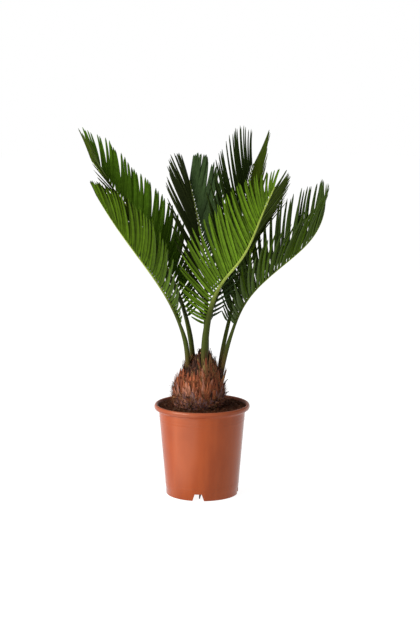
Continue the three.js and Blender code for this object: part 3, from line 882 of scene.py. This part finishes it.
def strands(frames, length, radius, seed):
    """Thin threads that start along the frames and wander."""
    root, up, side, normal = frames
    dice = np.random.default_rng(seed)
    count = len(root)
    start = up + normal * dice.normal(0.12, 0.2, (count, 1))
    start = unit(start + side * dice.normal(0, 0.45, (count, 1)))
    wander = dice.normal(0, 0.35, (count, STRAND_ROWS - 1, 3)).cumsum(1)
    steps = unit(start[:, None] + wander) * (length / (STRAND_ROWS - 1))[:, None, None]
    middle = root[:, None] + np.concatenate([np.zeros((count, 1, 3)), steps.cumsum(1)], 1)
    turns = full_turn(STRAND_ROUND)[:, None]
    across = unit(np.cross(start, side))[:, None]
    ring = across * np.cos(turns) + np.cross(start[:, None], across) * np.sin(turns)
    taper = radius[:, None] * np.linspace(1, 0.35, STRAND_ROWS)
    return middle[:, :, None] + ring[:, None] * taper[..., None, None]


# %% Wool on the trunk
WOOL_COUNT = 6500
dice = np.random.default_rng(77)
heights = dice.uniform(0, 92, WOOL_COUNT)
frames = on_trunk(heights, dice.uniform(0, TURN, WOOL_COUNT), sunk=-0.4)
length = dice.uniform(8, 20, WOOL_COUNT)
wool = strands(frames, length, dice.uniform(0.16, 0.42, WOOL_COUNT), seed=78)
wool = wool[clear_of_stalks(wool, least=-0.5)]
tints = dice.choice(len(WOOLS), len(wool), p=[0.35, 0.35, 0.3])
walls = np.broadcast_to(tints[:, None, None], (len(wool), STRAND_ROWS - 1, STRAND_ROUND))
settle(make_piece("trunk_wool", loft(wool), WOOLS, loft_tints(walls)), "trunk")

# %% [markdown]
# ## Stalks and ribs
# A stalk is nearly round at its foot and gets a flat, shallowly grooved upper face where the
# leaflets stand. One ring formula does both: a circle whose upper half is pressed down. Its
# colour runs from brown at the foot through olive to a pale yellow-green rib.

# %% Rib finish
OLIVE_STALK = (0.262, 0.3)  # metres above the ground over which each colour takes over
PALE_RIB = (0.37, 0.46)


def rib_green():
    finish = Finish("rib_green")
    fibres = finish.noise(180, detail=3, stretch=(1, 1, 0.2))
    high = finish.reach("Z")
    foot = finish.mix(paint(72, 52, 26), paint(52, 60, 18), finish.ramp(high, *OLIVE_STALK))
    tone = finish.mix(foot, paint(132, 146, 62), finish.ramp(high, *PALE_RIB))
    tone = finish.mix(tone, paint(46, 56, 16), finish.ramp(fibres, 0.5, 0.8) * 0.45)
    finish.bump(fibres, 0.25, 0.0008)
    roughness = fibres * 0.15 + 0.45
    return finish.wear(tone, roughness, shine=0.15, shine_tint=(0.85, 1, 0.5))


RIB_GREEN = rib_green()
RIB_ROUND = 16
RIB_ROWS = 110


def rib_tube(rib):
    distance = np.append(np.linspace(-RIB_SUNK, rib["length"] - 0.6, RIB_ROWS), rib["length"])
    middle, ahead, face, side = rib_at(rib, distance)
    share = distance / rib["length"]
    half = rib_half_width(rib, distance)
    half[-1] *= 0.4
    turns = full_turn(RIB_ROUND)
    leafy = eased((share - 0.12) / 0.12)[:, None]
    up = np.cos(turns)
    groove = 0.3 * np.exp(-((np.sin(turns) / 0.35) ** 2)) * (up > 0)
    pressed = np.where(up > 0, up * (1 - 0.35 * leafy) - groove * leafy, up)
    tall = (half[:, None] * RIB_THICK_SHARE * pressed)[..., None]
    wide = (half[:, None] * np.sin(turns))[..., None]
    return middle[:, None] + face[:, None] * tall + side[:, None] * wide


for name, rib in RIBS.items():
    piece = make_piece(name + "_rib", loft(rib_tube(rib)[None]), [RIB_GREEN], sharp=60)
    settle(piece, "frond", name)

# %% [markdown]
# ## Leaflets
# A leaflet is stiff, narrow and sharp, with a sunken vein along its middle and edges that roll
# under. So its section is drawn once as ten points and swept along a gently curved line. The
# upper side is a deep, shiny green and the under side a duller yellow-green. Every wing gets its
# own two plain greens, dealt in three close shades; they differ with each frond's age, and partly
# as painted shade and a painted sky reflection.

# %% Greens
GREENS = {
    "fresh": (69, 94, 16),
    "olive": (50, 70, 3),
    "grass": (60, 88, 16),
    "moss": (42, 54, 4),
    "bottle": (44, 58, 22),
    "smoky": (46, 62, 34),
    "umber": (50, 59, 28),
}
SHADES = [0.9, 1.0, 1.1]
SHADE_SPREAD = 0.75
MARGIN_PAINTED_SHADE = 0.55

# the upper and under greens of a frond's two wings; and by how many shades its tip is lighter
# right wing is darker for the shade it stands in; the greyer smoky green is partly a painted sky
# reflection
# the greens differ with each frond's age, and partly as painted shade: the front right frond's
WING_GREENS = {
    "frond_right_front": [("moss", "fresh"), ("moss", "moss")],
    "frond_left_front": [("moss", "olive"), ("moss", "olive")],
    "frond_right": [("olive", "olive"), ("bottle", "bottle")],
    "frond_left_back": [("grass", "grass"), ("moss", "moss")],
    "frond_back_right": [("moss", "moss"), ("bottle", "bottle")],
    "frond_back": [("smoky", "umber"), ("umber", "umber")],
}
COMMON_DRIFT = 0.6
SHADE_DRIFT = {"frond_left_back": 2.4, "frond_left_front": 1.6}


def leaf_green(name, colour, shade):
    finish = Finish(name)
    mottle = finish.noise(130, detail=3)
    colour = [c * shade for c in colour]
    lighter = [c * 1.14 + 2 for c in colour]
    tone = finish.mix(paint(*colour), paint(*lighter), finish.ramp(mottle, 0.35, 0.7))
    finish.bump(finish.noise(1200, detail=1), 0.08, 0.0003)
    roughness = mottle * 0.12 + 0.44
    return finish.wear(tone, roughness, shine=0.06, shine_tint=(0.75, 1, 0.4))


# each green has its shades in turn, and after them a dark one, painted shade on the rolled margins
TINTS_PER_GREEN = len(SHADES) + 1
LEAF_FINISHES = [
    leaf_green(f"leaf_{green}_{i}", colour, shade)
    for green, colour in GREENS.items()
    for i, shade in enumerate([*SHADES, MARGIN_PAINTED_SHADE])
]
FIRST_TINT = {green: i * TINTS_PER_GREEN for i, green in enumerate(GREENS)}
print(len(LEAF_FINISHES), "leaf finishes")

# %% Leaflet lines
LAST_AT = 0.985
LEAFLET_STEPS = 14
BLADE_ARCH = 9
ANGLE_SPREAD = 1.5
RISE_SPREAD = 2.4
TWIST_SPREAD = 6
LENGTH_SPREAD = 0.018


def leaflet_lines(rib, dice):
    """Middle lines of all the frond's leaflets, with the directions across and off each blade."""
    leafy = rib["length"] - rib["bare"]
    pairs = round(leafy / rib["pitch"])
    hand = np.tile([1.0, -1.0], pairs)[:, None]
    u = np.repeat(np.linspace(0, LAST_AT, pairs), 2) + 0.25 * hand[:, 0] / pairs
    u = np.clip(u + dice.normal(0, 0.1 / pairs, len(u)), 0, LAST_AT)
    distance = rib["bare"] + leafy * u
    middle, ahead, face, side = rib_at(rib, distance)
    t = (np.arange(LEAFLET_STEPS) + 0.5) / LEAFLET_STEPS
    start = along(rib["angle"], u) + dice.normal(0, ANGLE_SPREAD, len(u))
    rise = along(rib["rise"], u) + dice.normal(0, RISE_SPREAD, len(u))
    rise = np.radians(rise[:, None] + BLADE_ARCH * (0.5 - t))[..., None]
    angle = np.radians(start[:, None] - rib["bend"] * t)[..., None]
    outward = (side * hand)[:, None]
    away = outward * np.cos(rise) + face[:, None] * np.sin(rise)
    normal = face[:, None] * np.cos(rise) - outward * np.sin(rise)
    step = ahead[:, None] * np.cos(angle) + away * np.sin(angle)
    lead = ahead[:, None] * np.sin(angle) - away * np.cos(angle)
    long = rib["leaflet"] * along(rib["lengths"], u)
    long = long * dice.normal(1, LENGTH_SPREAD, len(u)).clip(0.95, 1.03)
    half = rib_half_width(rib, distance)[:, None]
    root = middle + side * hand * half * 0.85 + face * half * 0.3
    points = root[:, None] + np.cumsum(step, 1) * (long / LEAFLET_STEPS)[:, None, None]
    points = np.concatenate([root[:, None], points], 1)
    broad = along(rib["broad"], u) / 2
    return points, lead, normal, hand, broad


# %% Blades on those lines
# how far across, and how far off the blade, in half widths: the upper side, then the under side
SECTION = np.array([
    (-1, -0.42), (-0.8, 0.0), (-0.32, 0.14), (0, 0.02), (0.32, 0.14), (0.8, 0.0), (1, -0.42),
    (0.76, -0.28), (0, -0.22), (-0.76, -0.28),
])
UPPER_WALLS = 6
BLADE_FOOT = 0.16  # share of its length over which a blade widens from half its breadth
TAPER_FROM = 0.35
TAPER = 0.6
POINT = 0.3


def blades(lines, dice):
    """Closed blades swept along the lines, as (leaflets, rows, points, 3)."""
    points, lead, normal, hand, broad = lines
    count = len(points)
    twist = np.radians(dice.normal(0, TWIST_SPREAD, (count, 1, 1)))
    steps = [0, *range(LEAFLET_STEPS)]  # the root shares the first step's directions
    across = (lead * np.cos(twist) - normal * np.sin(twist))[:, steps] * -hand[:, None]
    off = (normal * np.cos(twist) + lead * np.sin(twist))[:, steps]
    t = np.linspace(0, 1, LEAFLET_STEPS + 1)
    narrowed = np.clip((t - TAPER_FROM) / (1 - TAPER_FROM), 0, 1) ** 1.4
    width = (0.5 + 0.5 * eased(t / BLADE_FOOT)) * (1 - TAPER * narrowed)
    width[-1] *= POINT
    half = broad[:, None] * width
    wide = (half[..., None] * SECTION[:, 0])[..., None]
    tall = ((half[..., None] * 0.8 + 0.25) * SECTION[:, 1])[..., None]
    return points[:, :, None] + across[:, :, None] * wide + off[:, :, None] * tall


def leaflet_tints(rings, wings, drift, dice):
    """One shade for each leaflet, by wing and side, with painted shade on the margins of the under
    side.
    """
    count, rows, cols = rings.shape[:3]
    lightest = len(SHADES) - 1
    middle = lightest / 2 + drift * (np.linspace(0, 1, count) - 0.5)
    shade = np.rint(dice.normal(middle, SHADE_SPREAD)).clip(0, lightest).astype(int)
    upper, under = np.array([[FIRST_TINT[green] for green in wing] for wing in wings]).T
    wing = np.arange(count) % 2
    walls = np.empty((count, rows - 1, cols), int)
    walls[:, :, :UPPER_WALLS] = (upper[wing] + shade)[:, None, None]
    walls[:, :, UPPER_WALLS:] = (under[wing] + shade)[:, None, None]
    walls[:, :, [UPPER_WALLS, -1]] = (under[wing] + len(SHADES))[:, None, None]
    return loft_tints(walls)


# %% Grow the leaflets
for i, (name, rib) in enumerate(RIBS.items()):
    dice = np.random.default_rng(210 + i)
    rings = blades(leaflet_lines(rib, dice), dice)
    tints = leaflet_tints(rings, WING_GREENS[name], SHADE_DRIFT.get(name, COMMON_DRIFT), dice)
    piece = make_piece(name + "_leaflets", loft(rings), LEAF_FINISHES, tints, sharp=55)
    settle(piece, "frond", name)

# %% [markdown]
# ## Floor, light and camera
# The plant stands on a plain white floor that runs out of sight. A large soft light stands high
# on the left in front, a small one shines from above, and the sky is a pale dome that is
# brightest round the horizon, as a white studio is. The floor glows so that it stays white, and
# more so in a pool on the lit side, which the pot's wall mirrors as one long soft highlight.

# %% Floor
FLOOR_RADIUS = 9000.0
FLOOR_THICK = 20.0
FLOOR_SIDES = 96
FLOOR_GLOW = (0.94, 0.94, 0.94)
POOL_GLOW = (2.6, 2.6, 2.6)


def floor_white():
    """White everywhere, and over-bright in a pool in front on the left."""
    finish = Finish("floor_white")
    dust = finish.noise(30, detail=2)
    white = finish.mix((0.2, 0.2, 0.2), (0.22, 0.22, 0.22), dust)
    left = 0 - finish.reach("X")
    front = 0 - finish.reach("Y")
    band = finish.ramp(left, 0.04, 0.14) * (1 - finish.ramp(left, 0.5, 0.9))
    pool = band * finish.ramp(front, 0, 0.12)
    finish.plug(finish.shader.inputs["Emission Color"], finish.mix(FLOOR_GLOW, POOL_GLOW, pool))
    finish.shader.inputs["Emission Strength"].default_value = 1.0
    return finish.wear(white, roughness=0.9, shine=0.1)


rim = polar(FLOOR_RADIUS, full_turn(FLOOR_SIDES), 0)
floor = make_piece("floor", loft(np.array([[rim - UP * FLOOR_THICK, rim]])), [floor_white()])

# %% Light
LIGHT_AIM = Vector((0, 0, 0.36))


def soft_light(name, place, wide, tall, power):
    """A soft box that shines at the middle of the plant."""
    data = bpy.data.lights.new(name, "AREA")
    data.shape = "RECTANGLE"
    data.size = wide
    data.size_y = tall
    data.energy = power
    light = stand(name, data)
    light.location = place
    light.rotation_euler = (LIGHT_AIM - light.location).to_track_quat("-Z", "Y").to_euler()


soft_light("key", place=(-2.45, -1.6, 1.6), wide=2.4, tall=2.0, power=118)
soft_light("top", place=(-0.4, 0.6, 3.0), wide=1.5, tall=1.5, power=20)

# %% Sky: how bright it is at two heights, and straight between them
SKY_STOPS = [(0.08, 1.0), (0.2, 0.26)]

sky = Finish("studio_sky", world=True)
ahead = sky.add("TexCoord", output="Generated")
upwards = sky.add("SeparateXYZ", sockets={0: ahead}, output="Z")
grey = sky.add("ValToRGB", {"stops": SKY_STOPS}, {0: upwards})
sky.plug(sky.shader.inputs["Color"], grey)
bpy.context.scene.world = sky.block
bpy.context.scene.view_settings.view_transform = "Standard"

# %% Camera
CAMERA_PLACE = (0.0158, -3.5, 0.939)
CAMERA_PITCH = 9.39
CAMERA_LENS = 102.6

camera = stand("camera", bpy.data.cameras.new("camera"))
camera.location = CAMERA_PLACE
camera.rotation_euler = (math.radians(90 - CAMERA_PITCH), 0, 0)
camera.data.lens = CAMERA_LENS
camera.data.sensor_width = 36
bpy.context.scene.camera = camera
